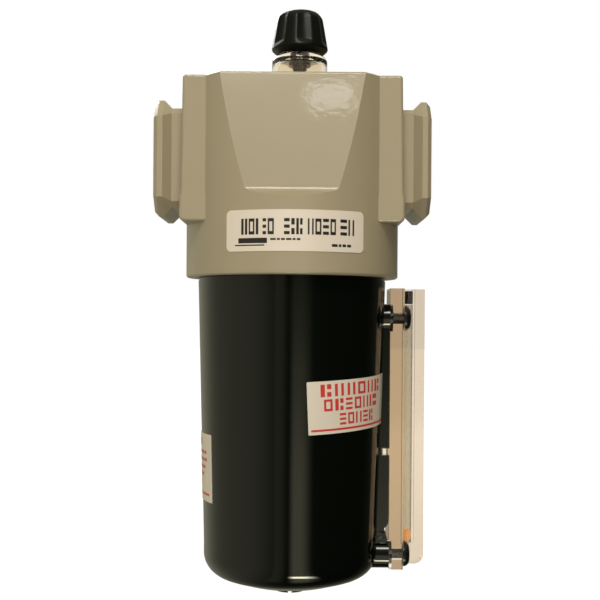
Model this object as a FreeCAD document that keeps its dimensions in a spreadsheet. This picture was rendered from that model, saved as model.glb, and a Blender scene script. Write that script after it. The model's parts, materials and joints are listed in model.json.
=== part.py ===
import FreeCAD, Part

import math
import os
import re

import Sketcher
from FreeCAD import Placement, Rotation, Vector

# An air-line lubricator. X runs along the line from the inlet port to the outlet port and Z is up.
# The origin is the centre of the inlet port's face. Heights are measured from the port axis, and
# a name that ends in drop is a distance below it. All sizes are in millimetres and degrees.

SIZES = {
    # Head casting
    "head_radius": 35.3, "head_top": 25.4, "skirt_drop": 38.2, "skirt_edge": 0.8, "top_edge": 0.9,
    "shoulder_half": 22.2, "shoulder_top_reach": 34.8, "shoulder_low_reach": 35.5,
    "shoulder_drop": 21.1, "shoulder_round": 1.8, "shoulder_edge": 1.0,
    "step_drop": 12.4, "step_proud": 0.25,
    "panel_top_depth": 8.4, "panel_low_depth": 3.0, "panel_drop": 12.2, "ledge_run": 2.1,
    "panel_crease": 2.5,
    # Ports and the clamping rims around them
    "port_to_port": 89.0, "port_radius": 13.1, "port_depth": 16.0,
    "throat_radius": 11.5, "throat_cone": 2.0,
    "rim_half": 18.75, "rim_cut": 5.8, "rim_bevel": 1.4, "rim_bevel_run": 1.3,
    "rim_crest_run": 1.7, "rim_slope_run": 2.6, "neck_half": 16.0, "neck_cut": 1.9,
    # Bowl and its seat in the head
    "skirt_wall": 4.3, "thread_gap": 0.06, "cavity_roof_drop": 24.0, "bowl_top_gap": 0.3,
    "mouth_chamfer": 0.9, "bowl_skirt_gap": 0.9, "bowl_shelf": 0.25, "bowl_draft": 2.35,
    "bowl_length": 102.3, "bowl_foot": 14.6, "bowl_corner": 8.0, "inside_chamfer": 3.2,
    "bowl_dish_rise": 5.4, "bowl_dish_flat": 12.0, "bowl_dish_round": 36.0,
    "bowl_wall": 2.6, "bowl_floor": 3.0, "bowl_seal_section": 2.2, "bowl_seal_sink": 4.0,
    "seal_gap": 0.05,
    # Bosses and web that carry the sight gauge
    "gauge_foot": 10.3, "stub_proud": 0.95, "web_proud": 1.45, "web_half": 3.4,
    "web_end_gap": 8.6, "web_end_radius": 3.0,
    "notch_run": 43.2, "notch_height": 2.6, "notch_depth": 2.4,
    # Sight gauge
    "gauge_top_gap": 3.1, "gauge_top_run": 9.9, "gauge_low_run": 4.4, "gauge_half": 4.7,
    "web_gap": 0.1, "channel_depth": 1.75, "channel_cover": 2.1, "channel_radius": 0.9,
    "link_run": 4.4, "bore_offset": 8.2, "bore_radius": 2.4, "bore_end_wall": 3.0,
    "bore_side_wall": 1.4, "rib_corner": 3.2, "float_gap": 0.25, "float_lift": 4.8,
    "drain_bore_radius": 1.3, "lug_gap": 0.25, "gauge_plug_height": 4.4, "gauge_plug_sink": 0.6,
    "screw_radius": 1.9, "screw_gap": 0.1, "screw_head_radius": 4.2, "screw_head_height": 2.4,
    "screw_socket": 1.5, "screw_inset": 1.3, "gauge_seal_section": 1.1, "gauge_seal_room": 0.7,
    # Sight dome, a little off the body's axis toward the outlet
    "dome_offset": 2.1, "dome_radius": 9.24, "dome_height": 10.9, "dome_shoulder": 2.2,
    "dome_wall": 1.9, "dome_roof": 2.4, "dome_neck_radius": 5.2, "dome_neck": 5.7,
    "dome_lip": 1.64, "spigot_length": 8.6, "spigot_wall": 1.7, "spigot_gap": 0.06,
    "well_gap": 1.4, "drip_hole_radius": 2.2, "gland_depth": 4.0, "dome_seal_section": 1.4,
    # Metering parts
    "needle_radius": 1.5, "needle_thread_step": 0.5, "needle_gap": 0.05, "needle_cap": 3.2,
    "nozzle_rise": 1.3, "nozzle_radius": 2.4, "nozzle_length": 4.3, "nozzle_tip_radius": 0.9,
    "nozzle_bore": 0.7, "seat_depth": 1.6, "needle_seal_section": 1.6,
    "riser_radius": 0.9, "riser_bore": 0.5, "riser_gap": 0.3,
    # Knob
    "knob_gap": 0.4, "knob_flare": 1.7, "knob_height": 14.3, "knob_low_radius": 7.6,
    "knob_rim_radius": 9.45, "knob_top_radius": 7.2, "knob_crown": 3.4, "knob_play": 1.2,
    "flute_radius": 1.7, "flute_bite": 0.75, "flute_lift": 1.2, "flute_end_gap": 3.2,
    # Fill plug
    "fill_gap": 1.76, "fill_thread_radius": 4.5, "fill_thread_length": 7.0,
    "fill_head_lap": 0.3, "fill_head_height": 2.0, "fill_recess_gap": 0.25,
    "fill_ledge": 1.2, "fill_hex": 5.0, "fill_hex_depth": 3.0, "fill_seal_section": 1.2,
    # Siphon
    "siphon_offset": 15.6, "adapter_thread_radius": 4.0, "adapter_thread_length": 7.0,
    "adapter_lip": 1.2, "adapter_flange": 2.6, "adapter_barb_radius": 2.0,
    "adapter_barb": 6.0, "adapter_bore": 1.0, "ball_play": 0.4, "check_ball_radius": 1.5,
    "tube_wall": 0.97, "tube_gap": 0.03, "tube_end_gap": 11.5,
    "filter_wall": 1.5, "filter_height": 9.0, "filter_cup": 4.0, "filter_chamfer": 0.6,
    "passage_radius": 1.4, "passage_top": 11.0,
    # Bypass vane in the throat
    "carrier_wall": 1.45, "carrier_half": 4.5, "carrier_gap": 0.03, "pin_depth": 2.42,
    "pin_radius": 0.6, "pin_inset": 0.69, "vane_gap": 1.42, "vane_thickness": 1.0,
    "vane_hub_radius": 1.25, "vane_hub_gap": 0.5, "vane_centre_drop": 0.4, "hinge_gap": 0.05,
    # Drain plug
    "drain_thread_radius": 2.9, "drain_boss_wall": 4.1, "drain_boss_height": 3.5,
    "drain_lip": 2.3, "drain_head_height": 1.4, "drain_seal_thickness": 0.6, "drain_slot": 1.2,
    # Labels
    "label_thickness": 0.2, "head_label_lift": 7.0, "head_label_height": 12.7,
    "head_label_half": 21.2, "head_label_corner": 1.6,
    "level_label_azimuth": 45.9, "level_label_half": 17.7, "level_label_height": 16.5,
    "level_label_run": 39.7, "level_label_tilt": 5.0,
    "side_label_azimuth": 102.0, "side_label_half": 20.6, "side_label_height": 22.0,
    "side_label_run": 62.1,
}

# Places that several pieces share, worked out from the sizes above
PLACES = {
    "axis": "port_to_port / 2",
    "dome_axis": "axis + dome_offset",
    "ledge_drop": "panel_drop + ledge_run",
    # Bowl
    "bowl_neck_radius": "head_radius - skirt_wall",
    "bowl_top_radius": "bowl_neck_radius + bowl_shelf",
    "bowl_low_radius": "bowl_top_radius - bowl_draft",
    "bowl_top": "-(cavity_roof_drop + bowl_top_gap)",
    "bowl_bottom_drop": "skirt_drop + bowl_length",
    "bowl_taper_drop": "bowl_bottom_drop - bowl_foot",
    "bowl_slope": "(bowl_top_radius - bowl_low_radius) / (bowl_taper_drop - skirt_drop - bowl_skirt_gap)",
    "cavity_radius": "bowl_neck_radius + thread_gap",
    "bowl_seal_radius": "bowl_neck_radius - bowl_seal_section / 2 - seal_gap / 2",
    "bowl_seal_drop": "cavity_roof_drop + bowl_seal_sink",
    # Gauge, its bosses and screws
    "gauge_top_drop": "skirt_drop + gauge_top_gap",
    "gauge_upper_drop": "gauge_top_drop + gauge_top_run",
    "gauge_lower_drop": "bowl_bottom_drop - gauge_foot",
    "gauge_low_drop": "gauge_lower_drop + gauge_low_run",
    "web_reach": "bowl_top_radius + web_proud",
    "web_end_drop": "gauge_lower_drop - web_end_gap",
    "notch_drop": "gauge_upper_drop + notch_run",
    "stub_reach": "web_reach + stub_proud",
    "stub_radius": "gauge_half",
    "gauge_inner": "web_reach + web_gap",
    "channel_reach": "stub_reach + channel_depth",
    "gauge_outer": "channel_reach + channel_cover",
    "bore_reach": "channel_reach + link_run",
    "rib_reach": "bore_reach + bore_radius + bore_end_wall",
    "rib_front": "bore_offset - bore_radius - bore_side_wall",
    "rib_back": "bore_offset + bore_radius + bore_side_wall",
    "float_radius": "bore_radius - float_gap",
    "float_drop": "gauge_lower_drop - float_lift",
    "screw_end_reach": "bowl_low_radius - screw_inset",
    "gauge_seal_radius": "screw_radius + gauge_seal_room + gauge_seal_section / 2",
    "gauge_seal_reach": "stub_reach + seal_gap",
    "counterbore_floor": "gauge_seal_reach + seal_gap",
    # Dome, needle and knob
    "dome_top": "head_top + dome_height",
    "dome_ceiling": "dome_top - dome_roof",
    "dome_neck_top": "dome_top + dome_neck",
    "gland_top": "dome_ceiling + gland_depth",
    "gland_radius": "needle_radius + needle_seal_section + 3 * seal_gap",
    "spigot_radius": "dome_radius - dome_lip",
    "spigot_bore": "spigot_radius - spigot_wall",
    "spigot_hole": "spigot_radius + spigot_gap",
    "well_floor": "head_top - spigot_length - well_gap",
    "dome_seal_radius": "spigot_radius + dome_seal_section / 2 + seal_gap",
    "dome_recess_radius": "dome_seal_radius + dome_seal_section / 2 + seal_gap",
    "nozzle_top": "dome_ceiling + nozzle_rise",
    "nozzle_tip": "dome_ceiling - nozzle_length",
    "riser_offset": "spigot_bore - riser_radius - riser_gap",
    "needle_thread_radius": "needle_radius + needle_thread_step",
    "needle_seal_radius": "needle_radius + needle_seal_section / 2 + seal_gap",
    "needle_seal_height": "nozzle_top + needle_seal_section / 2 + seal_gap",
    "knob_bottom": "dome_top + knob_gap",
    "knob_rim": "knob_bottom + knob_flare",
    "knob_top": "knob_bottom + knob_height",
    "knob_inner_radius": "dome_neck_radius + knob_play",
    "knob_roof": "dome_neck_top + knob_play",
    "needle_top": "knob_top - needle_cap",
    "flute_start": "knob_rim + flute_lift",
    "flute_end": "knob_top - flute_end_gap",
    # Fill plug
    "fill_head_radius": "fill_thread_radius + fill_seal_section + fill_head_lap",
    "fill_offset": "dome_radius + fill_head_radius + fill_gap",
    "fill_hole_radius": "fill_thread_radius + thread_gap",
    "fill_channel_radius": "fill_thread_radius - fill_ledge",
    "fill_seat": "head_top - fill_head_height - fill_seal_section - 2 * seal_gap",
    "fill_seal_radius": "fill_thread_radius + fill_seal_section / 2 + seal_gap",
    # Siphon
    "adapter_flange_radius": "adapter_thread_radius + adapter_lip",
    "adapter_flange_low": "-(cavity_roof_drop + adapter_flange)",
    "adapter_low": "adapter_flange_low - adapter_barb",
    "ball_chamber_radius": "check_ball_radius + ball_play",
    "chamber_low": "adapter_flange_low + 1",
    "tube_bore": "adapter_barb_radius + tube_gap",
    "tube_radius": "tube_bore + tube_wall",
    "tube_end_drop": "bowl_bottom_drop - tube_end_gap",
    "filter_radius": "tube_radius + filter_wall",
    "filter_end_drop": "tube_end_drop + filter_cup",
    # Vane
    "carrier_radius": "throat_radius - carrier_gap",
    "carrier_bore": "carrier_radius - carrier_wall",
    "pin_height": "carrier_bore - pin_depth",
    "pin_half": "sqrt(carrier_radius^2 - pin_height^2) - pin_inset",
    "vane_radius": "carrier_bore - vane_gap",
    "vane_hub_half": "sqrt(carrier_bore^2 - (pin_height + vane_hub_radius)^2) - vane_hub_gap",
    # Drain plug
    "drain_face": "-(bowl_bottom_drop + drain_seal_thickness)",
    "drain_head_radius": "drain_thread_radius + drain_lip",
    "drain_boss_radius": "drain_thread_radius + drain_boss_wall",
    # Labels
    "head_label_low_drop": "skirt_drop - head_label_lift",
    "head_label_high_drop": "head_label_low_drop - head_label_height",
    "level_label_drop": "skirt_drop + level_label_run",
    "side_label_drop": "skirt_drop + side_label_run",
}

X_AXIS, Y_AXIS, Z_AXIS = Vector(1, 0, 0), Vector(0, 1, 0), Vector(0, 0, 1)
UPRIGHT = Rotation()
ALONG_X = Rotation(Y_AXIS, 90)
ALONG_Y = Rotation(X_AXIS, -90)

doc = FreeCAD.newDocument("lubricator")
sheet = doc.addObject("Spreadsheet::Sheet", "Sizes")
for row, (alias, number) in enumerate(SIZES.items(), start=1):
    sheet.set(f"A{row}", alias.replace("_", " "))
    sheet.set(f"B{row}", str(number))
    sheet.setAlias(f"B{row}", alias)
doc.recompute()


def formula(text):
    """The expression with each size named in its sheet and each shared place written out."""
    def spell(match):
        word = match[0]
        if word in SIZES:
            return "Sizes." + word
        if word in PLACES:
            return "(" + formula(PLACES[word]) + ")"
        return word
    return re.sub(r"[a-z][a-z_]*", spell, text)


def value(text):
    result = sheet.evalExpression(formula(text))
    return float(getattr(result, "Value", result))


def bind(item, prop, text):
    item.setExpression(prop, formula(text))


def piece(label, x="axis", y="0", z="0", turn=UPRIGHT):
    """A body of its own, placed in the part's frame."""
    body = doc.addObject("PartDesign::Body", label)
    body.Label = label
    place(body, x, y, z, turn)
    return body


def place(item, x, y, z, turn=UPRIGHT):
    item.Placement = Placement(Vector(), turn)
    bind(item, "Placement.Base.x", x)
    bind(item, "Placement.Base.y", y)
    bind(item, "Placement.Base.z", z)


def origin_plane(body, role):
    return next(item for item in body.Origin.OriginFeatures if item.Role == role)


def draw(sketch, corners):
    """Closed outline through the corners (across, up[, radius]), each held by the sheet's sizes."""
    points = [Vector(value(corner[0]), value(corner[1]), 0) for corner in corners]
    count = len(points)
    ends = []
    arcs = []
    for i, point in enumerate(points):
        radius = value(corners[i][2]) if len(corners[i]) > 2 else 0
        back = (points[i - 1] - point).normalize()
        ahead = (points[(i + 1) % count] - point).normalize()
        half = back.getAngle(ahead) / 2
        trim = radius / math.tan(half)
        ends.append((point + back * trim, point + ahead * trim))
        arcs.append((radius, point + (back + ahead).normalize() * (radius / math.sin(half))) if radius else None)
    for i in range(count):
        sketch.addGeometry(Part.LineSegment(ends[i][1], ends[(i + 1) % count][0]), False)
    for i, point in enumerate(points):
        before = (i - 1) % count
        if arcs[i] is None:
            sketch.addConstraint(Sketcher.Constraint("Coincident", before, 2, i, 1))
            pin(sketch, i, point, corners[i])
            continue
        radius, centre = arcs[i]
        left_turn = (point - points[i - 1]).cross(points[(i + 1) % count] - point).z > 0
        first, last = ends[i] if left_turn else (ends[i][1], ends[i][0])
        circle = Part.Circle(centre, Z_AXIS, radius)
        start = math.atan2((first - centre).y, (first - centre).x)
        stop = math.atan2((last - centre).y, (last - centre).x)
        arc = sketch.addGeometry(Part.ArcOfCircle(circle, start, stop), False)
        corner = sketch.addGeometry(Part.Point(point), True)
        near, far = (1, 2) if left_turn else (2, 1)
        sketch.addConstraint([
            Sketcher.Constraint("Tangent", before, 2, arc, near),
            Sketcher.Constraint("Tangent", arc, far, i, 1),
            Sketcher.Constraint("PointOnObject", corner, 1, before),
            Sketcher.Constraint("PointOnObject", corner, 1, i),
        ])
        round_off = sketch.addConstraint(Sketcher.Constraint("Radius", arc, radius))
        bind(sketch, f"Constraints[{round_off}]", corners[i][2])
        pin(sketch, corner, point, corners[i])


def pin(sketch, item, point, corner):
    across = sketch.addConstraint(Sketcher.Constraint("DistanceX", -1, 1, item, 1, point.x))
    up = sketch.addConstraint(Sketcher.Constraint("DistanceY", -1, 1, item, 1, point.y))
    bind(sketch, f"Constraints[{across}]", corner[0])
    bind(sketch, f"Constraints[{up}]", corner[1])


def outline(body, name, plane, corners, lift="0"):
    sketch = body.newObject("Sketcher::SketchObject", name)
    sketch.AttachmentSupport = [(origin_plane(body, plane), "")]
    sketch.MapMode = "FlatFace"
    bind(sketch, "AttachmentOffset.Base.z", lift)
    draw(sketch, corners)
    return sketch


def turned(body, name, corners, cut=False, axis="V_Axis"):
    """A solid or a cut of revolution from an outline in the XZ plane."""
    sketch = outline(body, name + "_outline", "XZ_Plane", corners)
    feature = body.newObject("PartDesign::Groove" if cut else "PartDesign::Revolution", name)
    feature.Profile = sketch
    feature.ReferenceAxis = (sketch, [axis])
    feature.Angle = 360
    return feature


def prism(body, name, plane, corners, length, cut=False, lift="0", symmetric=True, reverse=False):
    """A pad or a pocket from an outline in an origin plane."""
    sketch = outline(body, name + "_outline", plane, corners, lift)
    feature = body.newObject("PartDesign::Pocket" if cut else "PartDesign::Pad", name)
    feature.Profile = sketch
    feature.SideType = "Symmetric" if symmetric else "One side"
    feature.Reversed = reverse
    bind(feature, "Length", length)
    return feature


def bar(body, name, radius, length, at, turn=UPRIGHT, cut=False):
    """A round bar or a drilled hole that starts at a point and runs along the turned Z axis."""
    kind = "PartDesign::SubtractiveCylinder" if cut else "PartDesign::AdditiveCylinder"
    feature = body.newObject(kind, name)
    bind(feature, "Radius", radius)
    bind(feature, "Height", length)
    place(feature, *at, turn)
    return feature


def mirrored(body, name, features, plane):
    feature = body.newObject("PartDesign::Mirrored", name)
    feature.Originals = features
    feature.MirrorPlane = (origin_plane(body, plane), [""])
    body.Tip = feature
    return feature


def rounded(body, name, radius, chosen):
    """A fillet on the edges of the tip that the test picks."""
    doc.recompute()
    base = body.Tip
    edges = [f"Edge{i}" for i, edge in enumerate(base.Shape.Edges, start=1) if chosen(edge)]
    feature = body.newObject("PartDesign::Fillet", name)
    feature.Base = (base, edges)
    bind(feature, "Radius", radius)
    return feature


def ring(label, radius, section, x="axis", y="0", z="0", turn=UPRIGHT):
    """A rubber ring of round section."""
    torus = doc.addObject("Part::Torus", label)
    torus.Label = label
    bind(torus, "Radius1", radius)
    bind(torus, "Radius2", section + " / 2")
    place(torus, x, y, z, turn)
    return torus


def octagon(half, cut):
    """Corners of a square with its corners cut off, anticlockwise from the right."""
    flat = f"({half} - {cut})"
    return [
        (half, f"-{flat}"), (half, flat), (flat, half), (f"-{flat}", half),
        (f"-{half}", flat), (f"-{half}", f"-{flat}"), (f"-{flat}", f"-{half}"), (flat, f"-{half}"),
    ]


def hexagon(across_flats):
    side = f"{across_flats} / 2 / cos(30)"
    return [(f"{side} * cos({60 * k})", f"{side} * sin({60 * k})") for k in range(6)]


def same(a, b):
    return abs(a - b) < 0.01


def at_height(edge, height):
    return all(same(vertex.Z, height) for vertex in edge.Vertexes)


def make_head():
    """Die-cast head: round body, square shoulders, clamping rims, ports, wells and bowl socket."""
    head = piece("head")
    prism(head, "shoulders", "XZ_Plane", [
        ("-shoulder_low_reach", "-shoulder_drop", "shoulder_round"),
        ("shoulder_low_reach", "-shoulder_drop", "shoulder_round"),
        ("shoulder_top_reach", "head_top"), ("-shoulder_top_reach", "head_top"),
    ], "2 * shoulder_half")
    top = value("head_top")
    rounded(head, "shoulder_edges", "shoulder_edge", lambda edge: edge.BoundBox.ZLength > top)
    rounded(head, "shoulder_top_edges", "top_edge", lambda edge: at_height(edge, top))
    prism(head, "shoulder_steps", "XZ_Plane", [
        ("-(shoulder_low_reach + step_proud)", "-shoulder_drop", "shoulder_round"),
        ("shoulder_low_reach + step_proud", "-shoulder_drop", "shoulder_round"),
        ("shoulder_low_reach + step_proud", "-step_drop"),
        ("-(shoulder_low_reach + step_proud)", "-step_drop"),
    ], "2 * (shoulder_half + step_proud)")
    proud = value("shoulder_half + step_proud")
    rounded(head, "step_edges", "shoulder_edge", lambda edge: edge.BoundBox.ZLength > 5
            and all(same(abs(vertex.Y), proud) for vertex in edge.Vertexes))
    turned(head, "round_body", [
        ("0", "-skirt_drop"), ("head_radius", "-skirt_drop", "skirt_edge"),
        ("head_radius", "head_top", "top_edge"), ("0", "head_top"),
    ])
    panel = "(head_radius - panel_top_depth)"
    front = prism(head, "front_panel", "YZ_Plane", [
        (f"-{panel}", "head_top", "top_edge"), (f"-({panel} - 2 * top_edge)", "head_top"),
        (f"-({panel} - 2 * top_edge)", "head_top + 1"),
        ("-(head_radius + 1)", "head_top + 1"), ("-(head_radius + 1)", "-ledge_drop"),
        ("-head_radius", "-ledge_drop"),
        ("-(head_radius - panel_low_depth)", "-panel_drop", "panel_crease"),
    ], "3 * head_radius", cut=True)
    mirrored(head, "back_panel", [front], "XZ_Plane")
    make_rims(head)
    make_passages(head)
    return head


def make_rims(head):
    """A necked eight-sided rim at each port, which a clamp ring grips by its sloping back."""
    port = "port_to_port / 2"
    crest = f"{port} - rim_bevel_run"
    back = f"{crest} - rim_crest_run"
    neck = f"{back} - rim_slope_run"
    sections = [
        ("head_radius / 2", "neck_half", "neck_cut"), (neck, "neck_half", "neck_cut"),
        (back, "rim_half", "rim_cut"), (crest, "rim_half", "rim_cut"),
        (port, "(rim_half - rim_bevel)", "(rim_cut - rim_bevel * 0.6)"),
    ]
    sketches = [outline(head, f"rim_section_{i}", "YZ_Plane", octagon(size, cut), lift)
                for i, (lift, size, cut) in enumerate(sections, start=1)]
    rim = head.newObject("PartDesign::AdditiveLoft", "outlet_rim")
    rim.Profile = sketches[0]
    rim.Sections = sketches[1:]
    rim.Ruled = True
    mirrored(head, "inlet_rim", [rim], "YZ_Plane")


def make_passages(head):
    """Air way, bowl socket, dome well, fill hole and oil passage."""
    end = "port_to_port / 2"
    shoulder = f"{end} - port_depth"
    turned(head, "air_way", [
        (f"-({end})", "0"), (f"-({end})", "port_radius"), (f"-({shoulder})", "port_radius"),
        (f"-({shoulder} - throat_cone)", "throat_radius"), (f"{shoulder} - throat_cone", "throat_radius"),
        (shoulder, "port_radius"), (end, "port_radius"), (end, "0"),
    ], cut=True, axis="H_Axis")
    turned(head, "bowl_socket", [
        ("0", "-skirt_drop"), ("cavity_radius + mouth_chamfer", "-skirt_drop"),
        ("cavity_radius", "-(skirt_drop - mouth_chamfer)"), ("cavity_radius", "-cavity_roof_drop"),
        ("0", "-cavity_roof_drop"),
    ], cut=True)
    bar(head, "dome_recess", "dome_recess_radius", "dome_seal_section",
        ("dome_offset", "0", "head_top - dome_seal_section"), cut=True)
    bar(head, "dome_well", "spigot_hole", "head_top - well_floor", ("dome_offset", "0", "well_floor"), cut=True)
    bar(head, "drip_hole", "drip_hole_radius", "well_floor", ("dome_offset", "0", "0"), cut=True)
    bar(head, "fill_recess", "fill_head_radius + fill_recess_gap", "head_top - fill_seat",
        ("0", "fill_offset", "fill_seat"), cut=True)
    bar(head, "fill_thread", "fill_hole_radius", "fill_thread_length",
        ("0", "fill_offset", "fill_seat - fill_thread_length"), cut=True)
    bar(head, "fill_channel", "fill_channel_radius", "cavity_roof_drop + fill_seat",
        ("0", "fill_offset", "-cavity_roof_drop"), cut=True)
    bar(head, "adapter_hole", "adapter_thread_radius + thread_gap", "adapter_thread_length + 1",
        ("0", "-siphon_offset", "-cavity_roof_drop"), cut=True)
    bar(head, "oil_passage", "passage_radius", "cavity_roof_drop + passage_top",
        ("0", "-siphon_offset", "-cavity_roof_drop"), cut=True)
    lean = Rotation(X_AXIS, -math.degrees(math.atan2(value("siphon_offset - riser_offset"),
                                                     value("well_floor - passage_top + 1"))))
    bar(head, "slanted_passage", "passage_radius * 0.8",
        "sqrt((siphon_offset - riser_offset)^2 + (well_floor - passage_top + 1)^2)",
        ("0", "-siphon_offset", "passage_top - 1"), lean, cut=True)


def make_bowl():
    """Drawn metal bowl with bosses and a web for the sight gauge and a tapped drain hole."""
    bowl = piece("bowl")
    neck_low = "-(skirt_drop + bowl_skirt_gap)"
    turned(bowl, "shell", [
        ("0", "-bowl_bottom_drop"), ("bowl_dish_flat", "-bowl_bottom_drop", "bowl_dish_round"),
        ("bowl_low_radius", "-(bowl_bottom_drop - bowl_dish_rise)", "bowl_corner"),
        ("bowl_low_radius", "-bowl_taper_drop"), ("bowl_top_radius", neck_low),
        ("bowl_neck_radius", neck_low), ("bowl_neck_radius", "bowl_top"), ("0", "bowl_top"),
    ])
    for name, drop in (("upper", "gauge_upper_drop"), ("lower", "gauge_lower_drop")):
        bar(bowl, f"{name}_stub", "stub_radius", "stub_reach - bowl_low_radius / 2",
            ("bowl_low_radius / 2", "0", f"-{drop}"), ALONG_X)
    prism(bowl, "web", "XZ_Plane", [
        ("bowl_low_radius / 2", "-gauge_upper_drop"), ("bowl_low_radius / 2", "-web_end_drop"),
        ("web_reach", "-web_end_drop", "web_end_radius"), ("web_reach", "-gauge_upper_drop"),
    ], "2 * web_half")
    prism(bowl, "notch", "XZ_Plane", [
        ("web_reach - notch_depth", "-notch_drop"), ("web_reach + 1", "-notch_drop"),
        ("web_reach + 1", "-(notch_drop + notch_height)"),
        ("web_reach - notch_depth", "-(notch_drop + notch_height)"),
    ], "2 * web_half + 2", cut=True)
    inner_low = "bowl_low_radius - bowl_wall"
    inner_dish = "-(bowl_bottom_drop - bowl_dish_rise - bowl_floor)"
    turned(bowl, "inside", [
        ("0", "-(bowl_bottom_drop - bowl_floor)"),
        ("bowl_dish_flat", "-(bowl_bottom_drop - bowl_floor)"),
        (f"{inner_low} - inside_chamfer", inner_dish), (inner_low, f"{inner_dish} + inside_chamfer"),
        (inner_low, "-bowl_taper_drop"), ("bowl_neck_radius - bowl_wall", neck_low),
        ("bowl_neck_radius - bowl_wall", "bowl_top"), ("0", "bowl_top"),
    ], cut=True)
    bar(bowl, "drain_boss", "drain_boss_radius", "bowl_floor / 2 + drain_boss_height",
        ("0", "0", "-(bowl_bottom_drop - bowl_floor / 2)"))
    bar(bowl, "drain_hole", "drain_thread_radius + thread_gap", "bowl_floor + drain_boss_height",
        ("0", "0", "-bowl_bottom_drop"), cut=True)
    seal_low = "-(bowl_seal_drop + bowl_seal_section / 2 + seal_gap)"
    seal_high = "-(bowl_seal_drop - bowl_seal_section / 2 - seal_gap)"
    groove_floor = "bowl_seal_radius - bowl_seal_section / 2 - seal_gap"
    turned(bowl, "seal_groove", [
        (groove_floor, seal_low), ("bowl_neck_radius + 1", seal_low),
        ("bowl_neck_radius + 1", seal_high), (groove_floor, seal_high),
    ], cut=True)
    for name, drop in (("upper", "gauge_upper_drop"), ("lower", "gauge_lower_drop")):
        bar(bowl, f"{name}_bore", "screw_radius + thread_gap", "stub_reach - bowl_low_radius / 2",
            ("bowl_low_radius / 2", "0", f"-{drop}"), ALONG_X, cut=True)
        bar(bowl, f"{name}_seal_seat", "gauge_seal_radius + gauge_seal_section / 2 + seal_gap",
            "gauge_seal_section - seal_gap",
            ("stub_reach - gauge_seal_section + seal_gap", "0", f"-{drop}"), ALONG_X, cut=True)
    return bowl


def make_gauge():
    """Clear sight gauge: a mounting plate, and a rib that holds the float's bore."""
    gauge = piece("sight_gauge")
    prism(gauge, "section", "XY_Plane", [
        ("gauge_inner", "-gauge_half"), ("gauge_outer", "-gauge_half"), ("gauge_outer", "rib_front"),
        ("rib_reach", "rib_front"), ("rib_reach", "rib_back"), ("gauge_inner", "rib_back"),
    ], "gauge_low_drop - gauge_top_drop", lift="-gauge_low_drop", symmetric=False)
    reach, low = value("rib_reach"), value("-gauge_low_drop")
    rounded(gauge, "rib_end", "rib_corner", lambda edge: at_height(edge, low)
            and all(same(vertex.X, reach) for vertex in edge.Vertexes))
    prism(gauge, "lug", "XZ_Plane", [
        ("gauge_inner - notch_depth + lug_gap", "-(notch_drop + lug_gap)"),
        ("gauge_outer", "-(notch_drop + lug_gap)"),
        ("gauge_outer", "-(notch_drop + notch_height - lug_gap)"),
        ("gauge_inner - notch_depth + lug_gap", "-(notch_drop + notch_height - lug_gap)"),
    ], "2 * web_half")
    step = "-(float_drop + float_radius)"
    bar(gauge, "float_bore", "bore_radius", f"-gauge_top_drop - ({step})",
        ("bore_reach", "bore_offset", step), cut=True)
    bar(gauge, "drain_bore", "drain_bore_radius", f"gauge_lower_drop + channel_radius + {step} + 1",
        ("bore_reach", "bore_offset", "-(gauge_lower_drop + channel_radius)"), cut=True)
    for name, drop in (("upper", "gauge_upper_drop"), ("lower", "gauge_lower_drop")):
        bar(gauge, f"{name}_hole", "screw_radius + screw_gap", "gauge_outer - gauge_inner",
            ("gauge_inner", "0", f"-{drop}"), ALONG_X, cut=True)
        bar(gauge, f"{name}_counterbore", "stub_radius + seal_gap",
            "counterbore_floor - gauge_inner", ("gauge_inner", "0", f"-{drop}"), ALONG_X, cut=True)
        bar(gauge, f"{name}_channel", "channel_radius", "bore_offset + channel_radius",
            ("channel_reach", "0", f"-{drop}"), ALONG_Y, cut=True)
        bar(gauge, f"{name}_link", "channel_radius", "bore_reach - channel_reach",
            ("channel_reach", "bore_offset", f"-{drop}"), ALONG_X, cut=True)
    return gauge


def make_gauge_screws():
    """Two hollow button-head screws that feed oil through the plate."""
    solids = []
    for name, drop in (("upper", "gauge_upper_drop"), ("lower", "gauge_lower_drop")):
        screw = piece(f"gauge_screw_{name}", "axis + gauge_outer", "0", f"-{drop}", ALONG_X)
        turned(screw, f"{name}_screw_body", [
            ("0", "-(gauge_outer - screw_end_reach)"),
            ("screw_radius", "-(gauge_outer - screw_end_reach)"), ("screw_radius", "0"),
            ("screw_head_radius", "0"), ("screw_head_radius", "screw_head_height", "screw_head_height * 0.8"),
            ("0", "screw_head_height"),
        ])
        prism(screw, f"{name}_socket", "XY_Plane", hexagon("(2 * screw_socket)"),
              "screw_head_height * 0.7", cut=True, lift="screw_head_height", symmetric=False)
        bar(screw, f"{name}_axial_bore", "channel_radius * 0.8", "channel_reach - screw_end_reach + 1",
            ("0", "0", "-(gauge_outer - screw_end_reach)"), cut=True)
        bar(screw, f"{name}_cross_bore", "channel_radius * 0.8", "screw_radius + 1",
            ("0", "0", "-(gauge_outer - channel_reach)"), ALONG_Y, cut=True)
        solids.append(screw)
    return group("gauge_screws", solids)


def group(label, solids):
    """Several alike pieces that share one node."""
    compound = doc.addObject("Part::Compound", label)
    compound.Label = label
    compound.Links = solids
    return compound


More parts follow.
